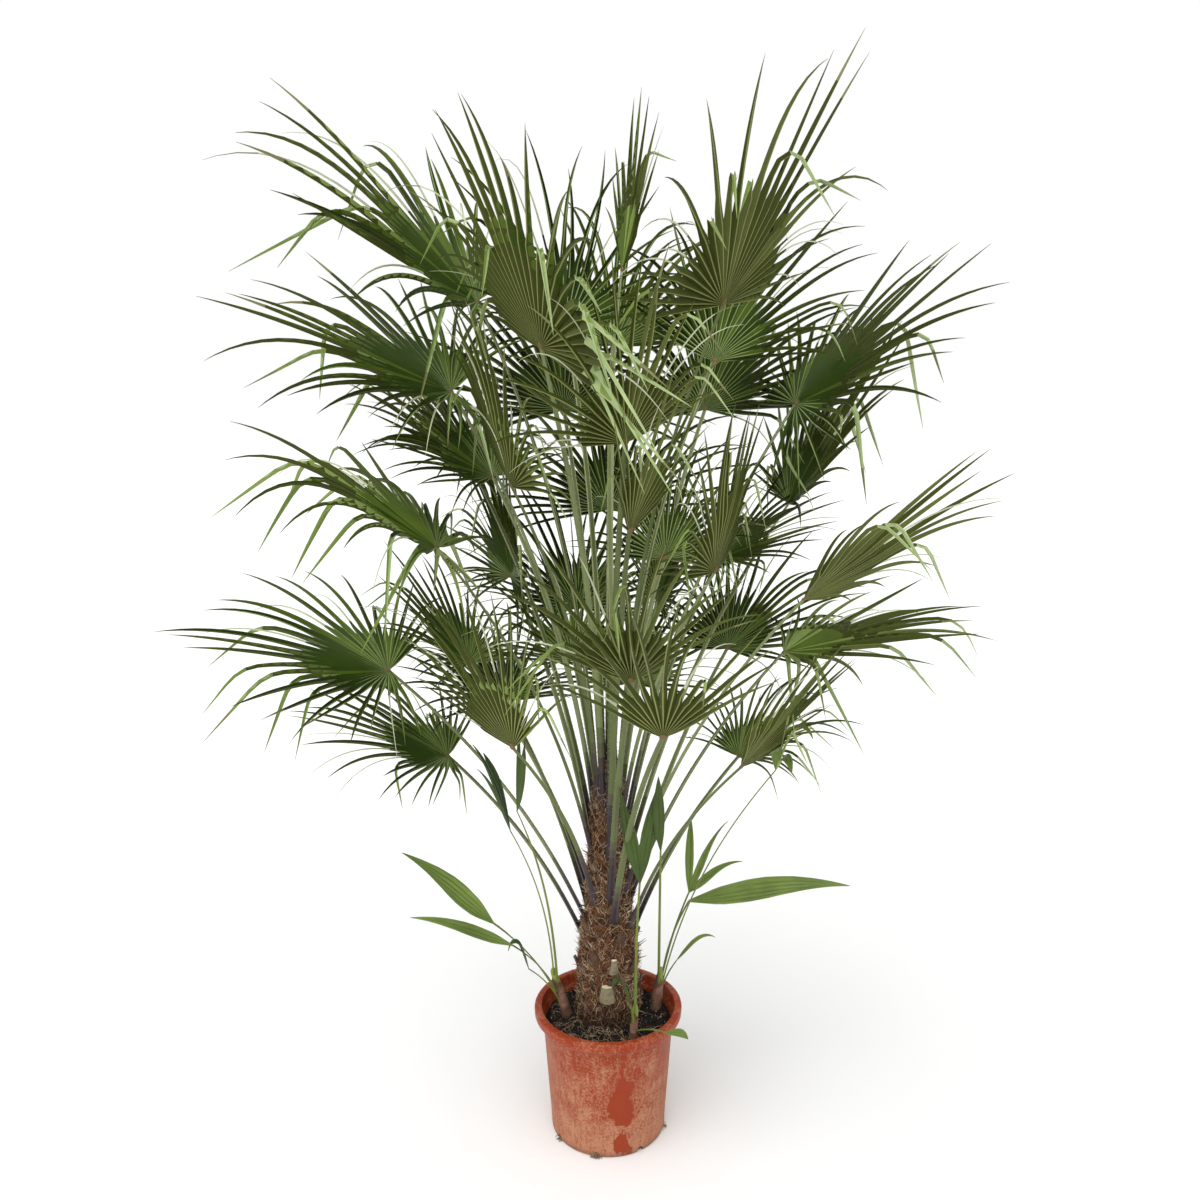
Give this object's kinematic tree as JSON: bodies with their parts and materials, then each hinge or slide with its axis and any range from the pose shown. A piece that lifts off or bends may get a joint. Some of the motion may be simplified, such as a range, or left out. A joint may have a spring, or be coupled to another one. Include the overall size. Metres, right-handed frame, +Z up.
{
  "type": "potted european fan palm",
  "caption": "Fan palm in a round nursery pot: a fibrous trunk carries a full crown of fan-shaped fronds on thin spiny stalks, with young suckers round its foot.",
  "frame": {"origin": "centre of the pot's flat underside, on the surface that it stands on", "axes": "+Z up along the trunk, -Y towards the viewer of the picture, +X to the viewer's right"},
  "size_m": [1.6396, 1.2822, 2.157],
  "materials": {
    "pot": "matt moulded terracotta-coloured plastic with a dusty film",
    "soil": "moist bark and peat potting mix",
    "trunk": "coarse brown leaf-base fibre",
    "sheath": "dry brown leaf sheaths",
    "frond": "waxy green leaf",
    "young_leaf": "fresh green leaf"
  },
  "bodies": {
    "root": {"pot": "pot", "soil": "soil", "trunk": "trunk", "sucker_front": "sheath", "sucker_left": "sheath", "sucker_right": "sheath", "frond_01": "frond", "frond_02": "frond", "frond_03": "frond", "frond_04": "frond", "frond_05": "frond", "frond_06": "frond", "frond_07": "frond", "frond_08": "frond", "frond_09": "frond", "frond_10": "frond", "frond_11": "frond", "frond_12": "frond", "frond_13": "frond", "frond_14": "frond", "frond_15": "frond", "frond_16": "frond", "frond_17": "frond", "frond_18": "frond", "frond_19": "frond", "frond_20": "frond", "frond_21": "frond", "frond_22": "frond", "frond_23": "frond", "frond_24": "frond", "frond_25": "frond", "frond_26": "frond", "frond_27": "frond", "frond_28": "frond", "frond_29": "frond", "frond_30": "frond", "frond_31": "frond", "frond_32": "frond", "frond_33": "frond", "frond_34": "frond", "frond_35": "frond", "frond_36": "frond", "frond_37": "frond", "frond_38": "frond", "frond_39": "frond", "young_leaf_01": "young_leaf", "young_leaf_02": "young_leaf", "young_leaf_03": "young_leaf", "young_leaf_04": "young_leaf", "young_leaf_05": "young_leaf", "young_leaf_06": "young_leaf", "young_leaf_07": "young_leaf", "young_leaf_08": "young_leaf", "young_leaf_09": "young_leaf", "young_leaf_10": "young_leaf", "young_leaf_11": "young_leaf", "young_leaf_12": "young_leaf", "young_leaf_13": "young_leaf"}
  },
  "joints": []
}
